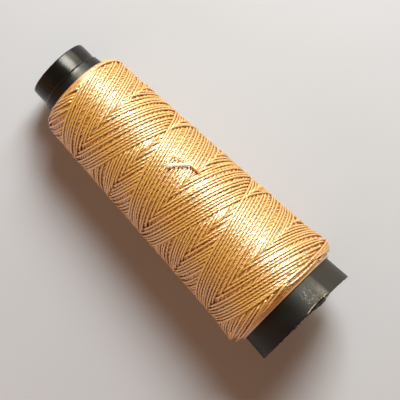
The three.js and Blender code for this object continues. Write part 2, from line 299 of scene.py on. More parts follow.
def uneven_steps(corners):
    """How far round each corner lies from its even place.

    Most strokes nearly touch the one before, and some leave a gap."""
    pairs = corners // 2 + 1
    leaves_gap = random.uniform(0, 1, pairs) < GAPS
    wide = random.uniform(*WIDE, pairs)
    narrow = random.uniform(*NARROW, pairs)
    gap = np.where(leaves_gap, wide, narrow)
    drift = np.cumsum(gap - gap.mean()) * GAP
    padded = np.pad(drift, GAPS_EVENED_OVER // 2, mode="edge")
    steady = np.convolve(padded, np.ones(GAPS_EVENED_OVER) / GAPS_EVENED_OVER, mode="valid")
    return np.repeat(drift - steady, 2)[:corners]


def thread_route(pairs):
    """The thread's place along the axis at every column that it passes, stroke after stroke.

    Even corners are reversals at the large end and odd ones at the small end."""
    corners = 2 * pairs + 1
    number = np.arange(corners)
    at_large_end = number % 2 == 0
    turned = number * (TURNS_PER_STROKE * TURN + STROKE_ADVANCE / 2)
    turned = turned + np.where(at_large_end, uneven_steps(corners), uneven_steps(corners))
    corner_at = np.where(at_large_end, LARGE_CORNER_AT, SMALL_CORNER_AT)
    jitter = random.uniform(-ROUNDING_JITTER, ROUNDING_JITTER, corners)
    rounding = 0.5 + 0.5 * np.sin(number * ROUNDING_DRIFT) + jitter
    small, large = [low + (high - low) * rounding for low, high in (SMALL_REVERSAL, LARGE_REVERSAL)]
    reversals = np.where(at_large_end, large, small)
    start = turned[-3] - NEWEST_ANGLE  # the newest pair starts at the last corner but two
    column = np.arange(math.ceil(turned[0] / TURN * COLUMNS), math.floor(turned[-1] / TURN * COLUMNS))
    angle = column * TURN / COLUMNS
    at = np.interp(angle, turned, corner_at)
    nearest = np.clip(np.searchsorted(turned, angle), 1, corners - 1)
    nearest -= (angle - turned[nearest - 1] < turned[nearest] - angle)
    past = np.abs(angle - turned[nearest])
    reversal = reversals[nearest]
    inward = np.where(at_large_end[nearest], -1, 1)
    at = at + inward * LEAD / TURN * np.maximum(0, reversal - past) ** 2 / (2 * reversal)
    for _ in range(WAVER_WAVES):
        wave = random.uniform(*WAVER_RANGE)
        at = at + WAVER / 2 * np.sin(angle * wave / TURNS_PER_STROKE + random.uniform(0, TURN))
    offset = round(start / TURN * COLUMNS)
    stroke = np.searchsorted(turned, angle, side="right") - 1
    return column - offset, np.clip(at, PACKAGE_START_AT + ROW, PACKAGE_END_AT - ROW), stroke


def taut(height, step):
    """The height of a taut thread over a row of supports: it rests on the high ones and bridges the rest."""
    reach = np.arange(-BRIDGE_COLUMNS, BRIDGE_COLUMNS + 1)
    sag = (reach * step) ** 2 / (2 * BRIDGE_RADIUS)
    padded = np.pad(height, BRIDGE_COLUMNS, mode="edge")
    count = len(height)
    over = np.max([padded[i:i + count] - drop for i, drop in enumerate(sag)], axis=0)
    padded = np.pad(over, BRIDGE_COLUMNS, mode="edge")
    under = np.min([padded[i:i + count] + drop for i, drop in enumerate(sag)], axis=0)
    soft = np.hanning(SOFTENED_COLUMNS) / np.hanning(SOFTENED_COLUMNS).sum()
    return np.convolve(np.pad(under, SOFTENED_COLUMNS // 2, mode="edge"), soft, mode="valid")


def blurred(surface, sigma_columns, sigma_rows):
    """A height map smoothed over, round the package and along it, from the places where thread lies."""
    pad = int(4 * sigma_rows)
    laid = np.pad((surface > 0).astype(float), ((0, 0), (pad, pad)))
    heights = np.pad(surface, ((0, 0), (pad, pad))) * laid
    wave_columns = np.fft.fftfreq(laid.shape[0])[:, None] * TURN * sigma_columns
    wave_rows = np.fft.rfftfreq(laid.shape[1])[None, :] * TURN * sigma_rows
    kernel = np.exp(-(wave_columns ** 2 + wave_rows ** 2) / 2)
    smooth = [np.fft.irfft2(np.fft.rfft2(values) * kernel, s=laid.shape) for values in (heights, laid)]
    return (smooth[0] / np.maximum(smooth[1], 0.02))[:, pad:-pad]


def highest_near(surface, columns, rows):
    """At each place of a height map, the highest value within this many columns and rows."""
    highest = np.max([np.roll(surface, shift, axis=0) for shift in range(-columns, columns + 1)], axis=0)
    padded = np.pad(highest, ((0, 0), (rows, rows)), mode="edge")
    count = surface.shape[1]
    return np.max([padded[:, shift:shift + count] for shift in range(2 * rows + 1)], axis=0)


def sampled(heights, column, run):
    """Values of a height map between its columns and rows."""
    row = np.clip(run / ROW, 0, heights.shape[1] - 1.001)
    low, share = row.astype(int), row % 1
    first = np.floor(column).astype(int)
    turn = column - first
    near, far = first % COLUMNS, (first + 1) % COLUMNS
    before = heights[near, low] * (1 - share) + heights[near, low + 1] * share
    after = heights[far, low] * (1 - share) + heights[far, low + 1] * share
    return before * (1 - turn) + after * turn


class Winding:
    """Lays the thread stroke by stroke, and keeps its centre line and the height maps that it makes."""

    def __init__(self, outline):
        self.outline = outline
        rows = math.ceil(outline.run[-1] / ROW) + 1
        self.surface = np.zeros((COLUMNS, rows))
        self.column, at, self.stroke = thread_route(HIDDEN_PAIRS + VISIBLE_PAIRS)
        self.run = np.interp(at, outline.at, outline.run)
        self.height = np.zeros(len(self.run))
        self.under = None
        for stroke in range(self.stroke[-1] + 1):
            if stroke == 2 * HIDDEN_PAIRS:
                self.under = self.surface.copy()
            self.lay(np.flatnonzero(self.stroke == stroke))
        column_width = outline.radius.mean() * TURN / COLUMNS
        reach = round(CREST_REACH / column_width), round(CREST_REACH / ROW)
        bridged = -highest_near(-highest_near(self.surface, *reach), *reach)
        self.level = blurred(bridged, LEVEL_BLUR / column_width, LEVEL_BLUR / ROW)

    def lay(self, part):
        """Lays one stroke over what is there, and raises the height map by it."""
        half = math.ceil(THREAD_WIDTH / 2 / HELIX_COSINE / ROW)
        row = np.rint(self.run[part] / ROW).astype(int)[:, None] + np.arange(-half, half + 1)
        across = (row * ROW - self.run[part][:, None]) * HELIX_COSINE / (THREAD_WIDTH / 2)
        column = (self.column[part] % COLUMNS)[:, None]
        row = np.clip(row, 0, self.surface.shape[1] - 1)
        crown = THREAD_HEIGHT / 2 * np.sqrt(np.clip(1 - across ** 2, 0, 1))
        narrow = np.abs(across) < TOUCHING
        held = np.where(narrow, self.surface[column, row] + crown * PRESSED, 0).max(axis=1)
        step = TURN / COLUMNS * np.interp(self.run[part], self.outline.run, self.outline.radius)
        self.height[part] = taut(held, step.mean())
        top = np.where(np.abs(across) < 1, self.height[part][:, None] + crown, 0)
        self.surface[column, row] = np.maximum(self.surface[column, row], top)

    def settled(self, top, column, run):
        """The height over the outline of a point of the height map, once the package is level."""
        rise = top - sampled(self.level, column, run)
        limit = np.where(rise > 0, STICKING_OUT, SINKING)
        return limit * np.tanh(rise / limit) + CREST_HEIGHT


def centre_line(winding, first_stroke):
    """Points, outward directions and lengths along the thread, evenly spaced, from this stroke on."""
    kept = winding.stroke >= first_stroke
    column, run = winding.column[kept].astype(float), winding.run[kept]
    top = winding.settled(winding.height[kept] + THREAD_HEIGHT / 2, column, run)
    return evenly_spaced(winding.outline, column * TURN / COLUMNS, run, top - THREAD_HEIGHT / 2)


def evenly_spaced(outline, angle, run, height):
    """Points, outward directions and lengths along a thread that takes this course over the package."""
    at, radius = outline.point(run, height)
    points = placed(at, radius, angle)
    length = lengths_along(points)
    spacing = TWIST_LENGTH / THREAD_SIDES
    even = np.arange(0, length[-1], spacing)
    points = np.stack([np.interp(even, length, points[:, i]) for i in range(3)], axis=1)
    angle = np.interp(even, length, angle)
    run = np.interp(even, length, run)
    lean_at = np.interp(run, outline.run, outline.normal_at)
    lean_radius = np.interp(run, outline.run, outline.normal_radius)
    outward = placed(lean_at, lean_radius, angle) - np.array(SMALL_FACE)
    return points, outward, even


def end_turns(outline, first_run, last_run, turns, start):
    """Old reversals that show on an end of the package, as a few turns side by side."""
    angle = np.linspace(0, turns * TURN, round(turns * COLUMNS)) + start
    run = np.linspace(first_run, last_run, len(angle))
    for wave in END_TURNS_WAVES:
        run = run + END_TURNS_WAVER / 2 * np.sin(angle * wave + random.uniform(0, TURN))
    sway = END_TURNS_SWAY * np.sin(angle * SWAY_WAVES + random.uniform(0, TURN))
    return evenly_spaced(outline, angle, run, -THREAD_HEIGHT / 2 - END_TURNS_DEPTH - sway)


# ---- A twisted thread as a mesh ----

THREAD_SIDES = 12
GROOVE = 0.30  # depth of the grooves between plies, as a share of the thread's radius
PLY_ROUNDNESS = 0.7  # under 1 the grooves are narrow and the plies broad
RINGS_PER_PIECE = 7800  # the long thread is cut into pieces of this many rings


def twisted_rings(points, outward, length, width, height):
    """A ring of points round each point of the centre line, with three plies in right-handed twist."""
    tangent = directions(points)
    up = unit(outward - (outward * tangent).sum(axis=1, keepdims=True) * tangent)
    across = np.cross(tangent, up)
    side = np.arange(THREAD_SIDES) / THREAD_SIDES * TURN
    twist = length / TWIST_LENGTH * TURN
    angle = side[None, :] + twist[:, None]
    ply = np.abs(np.sin(side * PLIES / 2)) ** PLY_ROUNDNESS
    size = 1 - GROOVE + GROOVE * ply
    rise = (np.cos(angle) * size * height / 2)[..., None] * up[:, None, :]
    spread = (np.sin(angle) * size * width / 2)[..., None] * across[:, None, :]
    return points[:, None, :] + rise + spread


def thread_map(corners, length, sides):
    """The thread's map: millimetres along it, and turns round it, counted from its outward side."""
    along = length[corners[..., 0].astype(int)]
    return np.stack([along / MM, corners[..., 1] / sides + along / TWIST_LENGTH], axis=-1)


def thread_piece(name, points, outward, length, material, width=THREAD_WIDTH, height=THREAD_HEIGHT):
    """A stretch of thread, closed at both ends."""
    rings = twisted_rings(points, outward, length, width, height)
    faces, corners = closed_tube(len(points), THREAD_SIDES)
    piece = mesh_piece(name, rings, faces, material)
    add_map(piece, "thread_map", thread_map(corners, length, THREAD_SIDES))
    return piece


def filament_mesh(name, lines, radii, sides, material):
    """Many fine strands in one mesh. Each is a line of points with a radius at each point."""
    verts, faces, maps, first = [], [], [], 0
    for line, radius in zip(lines, radii):
        tangent = directions(line)
        up = unit(np.cross(tangent, np.array(SIDE) + 0.3 * np.array(TOP)))
        across = np.cross(tangent, up)
        angle = np.arange(sides) / sides * TURN
        ring = np.cos(angle)[:, None] * up[:, None, :] + np.sin(angle)[:, None] * across[:, None, :]
        verts.append((line[:, None, :] + radius[:, None, None] * ring).reshape(-1, 3))
        tube_faces, corners = closed_tube(len(line), sides)
        faces.append(tube_faces + first)
        maps.append(thread_map(corners, lengths_along(line), sides))
        first += len(line) * sides
    piece = mesh_piece(name, np.concatenate(verts), np.concatenate(faces), material)
    add_map(piece, "thread_map", np.concatenate(maps))
    return piece


# ---- The tube ----

TUBE_COLUMNS = 480
RIM_ROUGHNESS = 0.07 * MM  # how far the trimmed rim strays from a plane
BURR_LENGTH = 0.75 * MM  # a tongue left by the trimming of the rim
BURR_ANGLES = (-37 * DEG, -23 * DEG, 3 * DEG)  # where it starts, is longest and ends
BURR_THICKNESS = 0.9 * MM
CHIP_DEPTH = 0.42 * MM  # how far the rim's outer edge is broken away above the tongue
COLLAR_STEP = 0.42 * MM  # the length of the step up from the collar to the cone
COLLAR_CROWN = 0.11 * MM  # how much narrower the collar is at its ends than in the middle
NUB = (4.0 * MM, 29 * DEG, 0.24 * MM, 0.22 * MM)  # its place, radius and height on the collar
BORE_ROUNDING = 0.2 * MM  # of the bore's edge in the collar
RIM_WAVES = 0.06 * MM  # how far the large end is from round
RIM_REACH = 4 * MM  # how far up the tube that fades out,
TRIM_REACH = 1.2 * MM  # and the trimming's marks
FINE_REACH = 3 * MM  # of the fine rows next to the rim
COVERED_BEYOND = 2 * MM  # this far inside the package's ends its rows are far apart
EDGE_STEPS = 6


def arc(centre, radius, start, end, steps):
    """Points (at, radius) of an arc, with its angles from the direction along the axis."""
    at, out = centre
    turns = np.linspace(start, end, steps + 1)
    return [(at + radius * math.cos(turn), out + radius * math.sin(turn)) for turn in turns]


def stretch(start, end, steps):
    """Points (at, radius) on the cone's outside between two places, without the first."""
    return [(at, cone_radius(at)) for at in np.linspace(start, end, steps + 1)[1:]]


def collar_radius(at):
    """The collar's outside, which is a little crowned."""
    middle = COLLAR_LENGTH / 2
    return COLLAR_RADIUS - COLLAR_CROWN * (at / middle - 1) ** 2


def tube_section():
    """The tube's section: over the large rim, along the outside, over the collar and back in the bore."""
    quarter = math.pi / 2

    # The large rim, from the bore out, and the cone's outside.
    rim_at = TUBE_LENGTH - RIM_EDGE
    rim_bore = CONE_LARGE_RADIUS - TUBE_WALL
    rim_face = np.linspace(rim_bore, CONE_LARGE_RADIUS - RIM_EDGE, 10)[:-1]
    fine_at = TUBE_LENGTH - FINE_REACH
    covered_from = PACKAGE_END_AT - COVERED_BEYOND
    covered_to = PACKAGE_START_AT + COVERED_BEYOND
    step_at = COLLAR_LENGTH + COLLAR_STEP
    section = [(TUBE_LENGTH, radius) for radius in rim_face]
    section += arc((rim_at, cone_radius(rim_at) - RIM_EDGE), RIM_EDGE, 0, quarter, EDGE_STEPS)
    section += stretch(rim_at, fine_at, 18)
    section += stretch(fine_at, covered_from, 20)
    section += stretch(covered_from, covered_to, 12)
    section += stretch(covered_to, step_at, 16)

    # The step down to the collar, and the collar.
    step = COLLAR_RADIUS - COLLAR_CROWN - cone_radius(step_at)
    for share in np.linspace(0, 1, 9)[1:]:
        down = step * float(smoothstep(share, 0, 1))
        section.append((step_at - share * COLLAR_STEP, cone_radius(step_at) + down))
    section += [(at, collar_radius(at)) for at in np.linspace(COLLAR_LENGTH, COLLAR_EDGE, 19)[1:-1]]
    edge = (COLLAR_EDGE, collar_radius(COLLAR_EDGE) - COLLAR_EDGE)
    section += arc(edge, COLLAR_EDGE, quarter, 2 * quarter, EDGE_STEPS)

    # The bore.
    bore = COLLAR_RADIUS - TUBE_WALL
    edge = (BORE_ROUNDING, bore + BORE_ROUNDING)
    section += arc(edge, BORE_ROUNDING, 2 * quarter, 3 * quarter, EDGE_STEPS)
    section += [(COLLAR_LENGTH, bore), (CONE_START_AT, CONE_SMALL_RADIUS - TUBE_WALL)]
    bore_rows = np.linspace(CONE_START_AT, TUBE_LENGTH, 40)[1:-1]
    section += [(at, cone_radius(at) - TUBE_WALL) for at in bore_rows]
    return np.array(section)


def wobble(angle, waves, low, high, uneven):
    """A sum of waves round the spool, usually about 1 high. Each has from low up to high waves in a turn."""
    total = np.zeros_like(angle)
    for _ in range(waves):
        total += np.sin(angle * uneven.integers(low, high) + uneven.uniform(0, TURN))
    return total / math.sqrt(waves / 2)


def worn_and_trimmed(at, radius, angle):
    """The tube's points with the nub on its collar, and with its large end as it was trimmed and worn."""
    uneven = np.random.default_rng(11)

    # The nub on the collar.
    nub_at, nub_angle, nub_radius, nub_height = NUB
    outside = radius > cone_radius(at) - TUBE_WALL / 2
    away = np.hypot(at - nub_at, (angle - nub_angle) * COLLAR_RADIUS)
    radius = radius + outside * nub_height * np.exp(-(away / nub_radius) ** 2)

    # The large rim isn't quite round.
    near_rim = smoothstep(at, TUBE_LENGTH - RIM_REACH, TUBE_LENGTH)
    radius = radius + near_rim * RIM_WAVES * wobble(angle, 3, 2, 6, uneven)

    # The trimmed rim: a ragged edge, with a chip over a tongue of burr.
    at_rim = smoothstep(at, TUBE_LENGTH - TRIM_REACH, TUBE_LENGTH)
    ragged = RIM_ROUGHNESS * (wobble(angle, 5, 3, 14, uneven) + 0.7 * wobble(angle, 8, 20, 70, uneven))
    at = at + at_rim * ragged
    start, longest, end = BURR_ANGLES
    tongue = smoothstep(angle, start, longest) * (1 - smoothstep(angle, longest, end)) ** 1.3
    tongue = tongue * (1 + 0.03 * wobble(angle, 5, 20, 60, uneven))
    depth = cone_radius(TUBE_LENGTH) - radius
    burr_from = TUBE_WALL - BURR_THICKNESS
    inner_side = smoothstep(depth, burr_from - 0.25 * MM, burr_from + 0.1 * MM)
    at = at + at_rim * tongue * inner_side * BURR_LENGTH
    broken = at_rim * tongue * (1 - inner_side) * CHIP_DEPTH * (1 + 0.3 * wobble(angle, 8, 40, 120, uneven))
    return at - broken, radius - outside * broken * 0.5


def cone_tube_piece(material):
    """The tube, with its map: degrees round it, and millimetres along its section."""
    section = tube_section()
    turned = np.arange(TUBE_COLUMNS) / TUBE_COLUMNS * TURN - math.pi
    angle, at, radius = np.broadcast_arrays(turned[:, None], section[:, 0], section[:, 1])
    at, radius = worn_and_trimmed(at, radius, angle)
    points = placed(at, radius, angle)
    sides = len(section)
    faces = ring_faces(TUBE_COLUMNS, sides, closed_rings=True)
    piece = mesh_piece("moulded_cone_tube", points, faces, material)
    corners = ring_map(TUBE_COLUMNS, sides, closed_rings=True)
    degrees = corners[..., 0] * 360 / TUBE_COLUMNS - 180
    step = np.linalg.norm(np.diff(section, axis=0, append=section[:1]), axis=1)
    run = np.concatenate([[0], np.cumsum(step)])
    add_map(piece, "tube_map", np.stack([degrees, run[corners[..., 1].astype(int)] / MM], axis=-1))
    return piece


# ---- The layers under the outer winding ----

INNER_COLUMN_STEP = 2
INNER_ROWS = 240
INNER_BORE_ROWS = 12
INNER_DEEPEST = 2.0 * MM  # under the package's outline
INNER_HIGHEST = 0.35 * MM  # under it too, so that the outermost strokes stand clear
INNER_FOOT = 1.2 * MM  # over which it comes down to the tube at both ends


def inner_layers_piece(winding, material):
    """What shows between the outermost strokes: the crowns of the strokes under them, down to the tube."""
    outline = winding.outline
    run = np.linspace(0, outline.run[-1], INNER_ROWS)
    column = np.arange(0, COLUMNS, INNER_COLUMN_STEP)
    columns, runs = np.meshgrid(column, run, indexing="ij")
    height = winding.settled(sampled(winding.under, columns, runs), columns, runs)
    height = np.clip(height, -INNER_DEEPEST, -INNER_HIGHEST)
    foot = smoothstep(runs, 0, INNER_FOOT) * (1 - smoothstep(runs, run[-1] - INNER_FOOT, run[-1]))
    at, radius = outline.point(runs, height * foot)
    radius = np.maximum(radius, cone_radius(at) + SEAT_GAP)
    angle = columns * TURN / COLUMNS
    bore_at = np.linspace(at[0, -1], at[0, 0], INNER_BORE_ROWS)
    outer = placed(at, radius, angle)
    bore = placed(bore_at, cone_radius(bore_at) + SEAT_GAP / 2, angle[:, :1])
    points = np.concatenate([outer, bore], axis=1)[:, ::-1]
    rings, sides = points.shape[:2]
    faces = ring_faces(rings, sides, closed_rings=True)
    piece = mesh_piece("thread_under_layers", points, faces, material)
    corners = ring_map(rings, sides, closed_rings=True)
    around = corners[..., 0] * INNER_COLUMN_STEP * outline.radius.mean() * TURN / COLUMNS
    across = (sides - 1 - corners[..., 1]) * outline.run[-1] / INNER_ROWS
    add_map(piece, "thread_map", np.stack([around / MM, across / THREAD_WIDTH], axis=-1))
    return piece


# ---- The loose end ----

LOOSE_END_AT = 51.5 * MM
STEM_LENGTH = 3.1 * MM
UPPER_PLY_LENGTH = 5.8 * MM
LOWER_PLY_LENGTH = 4.5 * MM
FORK_AT = LOOSE_END_AT - STEM_LENGTH
STEM_DIAMETER = 1.0 * MM
STEM_LEAN = -0.42  # in radians from the top, of the stem's side that faces away from the package
STEM_POINTS = 26
ROOT_POINT = -6  # of the stem, where the plies start inside it
PLY_POINTS = 34
PLY_TWIST = 2.6  # in radians, over a whole ply
STRAND_STEP = 2.4  # in radians round the ply, which spreads its strands evenly
FILAMENT_RADIUS = 0.075 * MM
FILAMENT_SIDES = 6

# Where each ply goes: a share of its length, degrees round the package, and a height over it.
UPPER_PLY = (
    (0, -25.3, 0.80 * MM),
    (0.25, -24.6, 0.98 * MM),
    (0.50, -23.2, 0.95 * MM),
    (0.78, -20.8, 0.75 * MM),
    (1, -17.8, 0.42 * MM),
)
LOWER_PLY = (
    (0, -24.4, 0.78 * MM),
    (0.25, -21.2, 0.92 * MM),
    (0.53, -16.6, 0.88 * MM),
    (0.80, -11.2, 0.68 * MM),
    (1, -6.2, 0.40 * MM),
)

STRAY_FIBRES = 13  # on each ply
STRAY_LENGTHS = (0.8, 2.4)  # in millimetres
STRAY_RADIUS = 0.022 * MM
STRAY_POINTS = 12


def smooth_line(through, count):
    """A Catmull-Rom curve through points, as this many points."""
    through = np.asarray(through, dtype=float)
    ends = np.concatenate([2 * through[:1] - through[1:2], through, 2 * through[-1:] - through[-2:-1]])
    place = np.linspace(0, len(through) - 1 - 1e-9, count)
    low = place.astype(int)
    t = (place - low)[:, None]
    a, b, c, d = (ends[low + i] for i in range(4))
    square = (2 * a - 5 * b + 4 * c - d) * t ** 2
    cube = (3 * b - a - 3 * c + d) * t ** 3
    return 0.5 * (2 * b + (c - a) * t + square + cube)


def over_package(at, degrees, height):
    """A point at this height over the package."""
    return placed(np.array(at), package_radius(np.array(at)) + height, np.array(degrees * DEG))


def stem_line():
    """The loose end's course, from between the strokes up to the fork."""
    return smooth_line([
        over_package(LOOSE_END_AT + 1.0 * MM, -27.2, -0.75 * MM),
        over_package(LOOSE_END_AT, -26.2, -0.05 * MM),
        over_package(LOOSE_END_AT - 1.1 * MM, -25.6, 0.45 * MM),
        over_package(LOOSE_END_AT - 0.62 * STEM_LENGTH, -25.3, 0.62 * MM),
        over_package(FORK_AT, -25.0, 0.75 * MM),
    ], STEM_POINTS)


def ply_route(root, length, places):
    """A ply's course through these places, from its root in the stem."""
    route = [over_package(FORK_AT - share * length, degrees, height) for share, degrees, height in places]
    return [root] + route


def opened_ply(name, route, material, loose, strands, bundle):
    """A ply as a bundle of strands of this radius, which spreads at its cut end, with a few stray fibres."""
    middle = smooth_line(route, PLY_POINTS)
    tangent = directions(middle)
    up = np.repeat([np.array(TOP)], len(middle), axis=0)
    across = unit(np.cross(tangent, up))
    up = np.cross(across, tangent)
    share = np.linspace(0, 1, len(middle))
    lines, radii = [], []
    for number in range(strands):
        place = math.sqrt((number + 0.5) / strands)
        start = number * STRAND_STEP + loose.uniform(-0.2, 0.2)
        turn = start + share * PLY_TWIST
        spread = bundle * place * (0.75 + 0.25 * share + 1.1 * smoothstep(share, 0.72, 1.0))
        drift = loose.normal(0, 0.10 * MM, 2)[:, None] * smoothstep(share, 0.6, 1.0)
        cut = int(len(middle) * loose.uniform(0.88, 1.0))
        sideways = (spread * np.cos(turn) + drift[0])[:, None] * across
        upwards = (spread * np.sin(turn) * 0.8 + drift[1])[:, None] * up
        lines.append((middle + sideways + upwards)[:cut])
        radii.append(FILAMENT_RADIUS * (1 - 0.45 * smoothstep(share, 0.75, 1.0))[:cut])
    for _ in range(STRAY_FIBRES):
        lines.append(stray_fibre(lines[loose.integers(strands)], loose))
        radii.append(np.full(STRAY_POINTS, STRAY_RADIUS))
    return filament_mesh(name, lines, radii, FILAMENT_SIDES, material)


def stray_fibre(strand, loose):
    """A fibre that leaves this strand and bends away from it."""
    start = strand[loose.integers(int(len(strand) * 0.45), len(strand) - 2)]
    heading = (strand[-1] - strand[-6]) / np.linalg.norm(strand[-1] - strand[-6])
    bend = loose.normal(0, 0.6, 3)
    reach = loose.uniform(*STRAY_LENGTHS) * MM
    share = np.linspace(0, 1, STRAY_POINTS)[:, None]
    curl = loose.normal(0, 0.35, 3)
    return start + reach * share * (heading + 0.5 * bend) + reach * share ** 2 * curl


def loose_end_pieces(stem_material, upper_material, lower_material):
    loose = np.random.default_rng(5)
    stem = stem_line()
    away = np.array(TOP) * math.cos(STEM_LEAN) + np.array(SIDE) * math.sin(STEM_LEAN)
    outward = np.repeat([away], len(stem), axis=0)
    upper = ply_route(stem[ROOT_POINT], UPPER_PLY_LENGTH, UPPER_PLY)
    lower = ply_route(stem[ROOT_POINT], LOWER_PLY_LENGTH, LOWER_PLY)
    length = lengths_along(stem)
    return [
        thread_piece("loose_end_stem", stem, outward, length, stem_material, STEM_DIAMETER, STEM_DIAMETER),
        opened_ply("loose_end_upper_ply", upper, upper_material, loose, strands=14, bundle=0.24 * MM),
        opened_ply("loose_end_lower_ply", lower, lower_material, loose, strands=26, bundle=0.36 * MM),
    ]


# ---- Materials ----

def set_stops(ramp, stops):
    """Gives a colour ramp these stops, each a position and a colour."""
    while len(ramp.elements) < len(stops):
        ramp.elements.new(0.5)
    for element, (position, colour) in zip(ramp.elements, stops):
        element.position = position
        element.color = (*colour, 1)


class Nodes:
    """A material and short calls for the nodes in it."""

    def __init__(self, name):
        self.material = bpy.data.materials.new(name)
        self.material.use_nodes = True
        self.tree = self.material.node_tree
        self.tree.nodes.clear()
        self.output = self.add("ShaderNodeOutputMaterial")

    def add(self, kind, inputs=(), **settings):
        node = self.tree.nodes.new(kind)
        for name, value in settings.items():
            setattr(node, name, value)
        for name, value in dict(inputs).items():
            if isinstance(value, bpy.types.NodeSocket):
                self.tree.links.new(value, node.inputs[name])
            else:
                node.inputs[name].default_value = value
        return node

    def where(self):
        """The place on the object, in metres."""
        return self.add("ShaderNodeTexCoord").outputs["Object"]

    def map(self, name):
        return self.add("ShaderNodeUVMap", uv_map=name).outputs["UV"]

    def math(self, operation, a, b=0.0):
        return self.add("ShaderNodeMath", {0: a, 1: b}, operation=operation).outputs[0]

    def plus(self, a, b):
        return self.math("ADD", a, b)

    def minus(self, a, b):
        return self.math("SUBTRACT", a, b)

    def times(self, a, b):
        return self.math("MULTIPLY", a, b)

    def noise(self, vector, scale, detail=2.0, roughness=0.5):
        inputs = {"Vector": vector, "Scale": scale, "Detail": detail, "Roughness": roughness}
        return self.add("ShaderNodeTexNoise", inputs).outputs["Fac"]

    def ramp(self, factor, stops):
        node = self.add("ShaderNodeValToRGB", {"Fac": factor})
        set_stops(node.color_ramp, stops)
        return node.outputs["Color"]

    def rise(self, value, low, high):
        """Goes smoothly from 0 to 1 while the value goes from low to high."""
        inputs = {"Value": value, "From Min": low, "From Max": high}
        return self.add("ShaderNodeMapRange", inputs, interpolation_type="SMOOTHSTEP").outputs["Result"]

    def band(self, value, middle, half_width, soft):
        """1 within half a width of the middle, and falls softly to 0 beside that."""
        away = self.math("ABSOLUTE", self.minus(value, middle))
        return self.minus(1.0, self.rise(away, half_width, half_width + soft))

    def mix(self, share, first, second):
        """A colour between two others, each a node's output or a plain colour."""
        node = self.add("ShaderNodeMix", {"Factor": share}, data_type="RGBA")
        for socket, value in zip((node.inputs[6], node.inputs[7]), (first, second)):
            if isinstance(value, bpy.types.NodeSocket):
                self.tree.links.new(value, socket)
            else:
                socket.default_value = (*value, 1)
        return node.outputs[2]

    def mapped(self, vector, scale):
        return self.add("ShaderNodeMapping", {"Vector": vector, "Scale": scale}).outputs["Vector"]

    def shade(self, **inputs):
        """The finished material, from the inputs of its surface shader."""
        named = {key.replace("_", " "): value for key, value in inputs.items()}
        shader = self.add("ShaderNodeBsdfPrincipled", named)
        self.tree.links.new(shader.outputs["BSDF"], self.output.inputs["Surface"])
        return self.material


def thread_material():
    nodes = Nodes("golden_thread")
    where = nodes.where()
    strand = nodes.map("thread_map")
    fibres = nodes.noise(nodes.mapped(strand, (0.35, 26, 1)), 1.0, 3.0, 0.6)
    slubs = nodes.noise(nodes.mapped(strand, (0.12, 0.0, 1)), 1.0, 2.0)
    patches = nodes.noise(where, 90.0, 2.0)
    tone = nodes.plus(nodes.times(fibres, 0.5), nodes.times(slubs, 0.3))
    tone = nodes.plus(tone, nodes.times(patches, 0.2))
    colour = nodes.ramp(tone, [
        (0.25, (0.86, 0.37, 0.040)),
        (0.50, (0.92, 0.46, 0.075)),
        (0.75, (0.97, 0.58, 0.150)),
    ])
    places = nodes.add("ShaderNodeSeparateXYZ", {"Vector": strand}).outputs
    along, turn = places["X"], places["Y"]
    crest = nodes.math("COSINE", nodes.times(turn, TURN))
    twist = nodes.minus(turn, nodes.math("DIVIDE", along, TWIST_LENGTH / MM))
    ply = nodes.math("ABSOLUTE", nodes.math("SINE", nodes.times(twist, PLIES * TURN / 2)))
    # Painted shade: the sides of each thread and the grooves between its plies are darkened to a deep brown,
    # where shade falls between threads. Only the crests keep the thread's own colour.
    side_unshaded = nodes.rise(crest, 0.10, 0.93)
    ply_unshaded = nodes.rise(ply, -0.5, 0.6)
    fibre_unshaded = nodes.times(side_unshaded, ply_unshaded)
    colour = nodes.mix(fibre_unshaded, (0.40, 0.080, 0.002), colour)
    bump = nodes.add("ShaderNodeBump", {"Height": fibres, "Strength": 0.22, "Distance": 0.00006})
    grain = nodes.add("ShaderNodeTangent", direction_type="UV_MAP", uv_map="thread_map").outputs["Tangent"]
    return nodes.shade(
        Base_Color=colour,
        Metallic=nodes.times(fibre_unshaded, 0.16),
        Roughness=0.52,
        IOR=2.2,
        Specular_IOR_Level=0.7,
        Specular_Tint=(1.0, 0.97, 0.86, 1),
        Anisotropic=0.80,
        Anisotropic_Rotation=0.25,
        Tangent=grain,
        Coat_Weight=1.0,
        Coat_Roughness=0.44,
        Coat_IOR=2.3,
        Normal=bump.outputs["Normal"],
    )


def fibre_material(name, stops):
    nodes = Nodes(name)
    where = nodes.where()
    strand = nodes.map("thread_map")
    streaks = nodes.noise(nodes.mapped(strand, (0.6, 9, 1)), 1.0, 3.0, 0.6)
    patches = nodes.noise(where, 700.0, 2.0)
    tone = nodes.plus(nodes.times(streaks, 0.6), nodes.times(patches, 0.4))
    colour = nodes.ramp(tone, stops)
    return nodes.shade(
        Base_Color=colour,
        Roughness=0.5,
        IOR=1.9,
        Specular_IOR_Level=0.9,
        Coat_Weight=0.4,
        Coat_Roughness=0.5,
    )


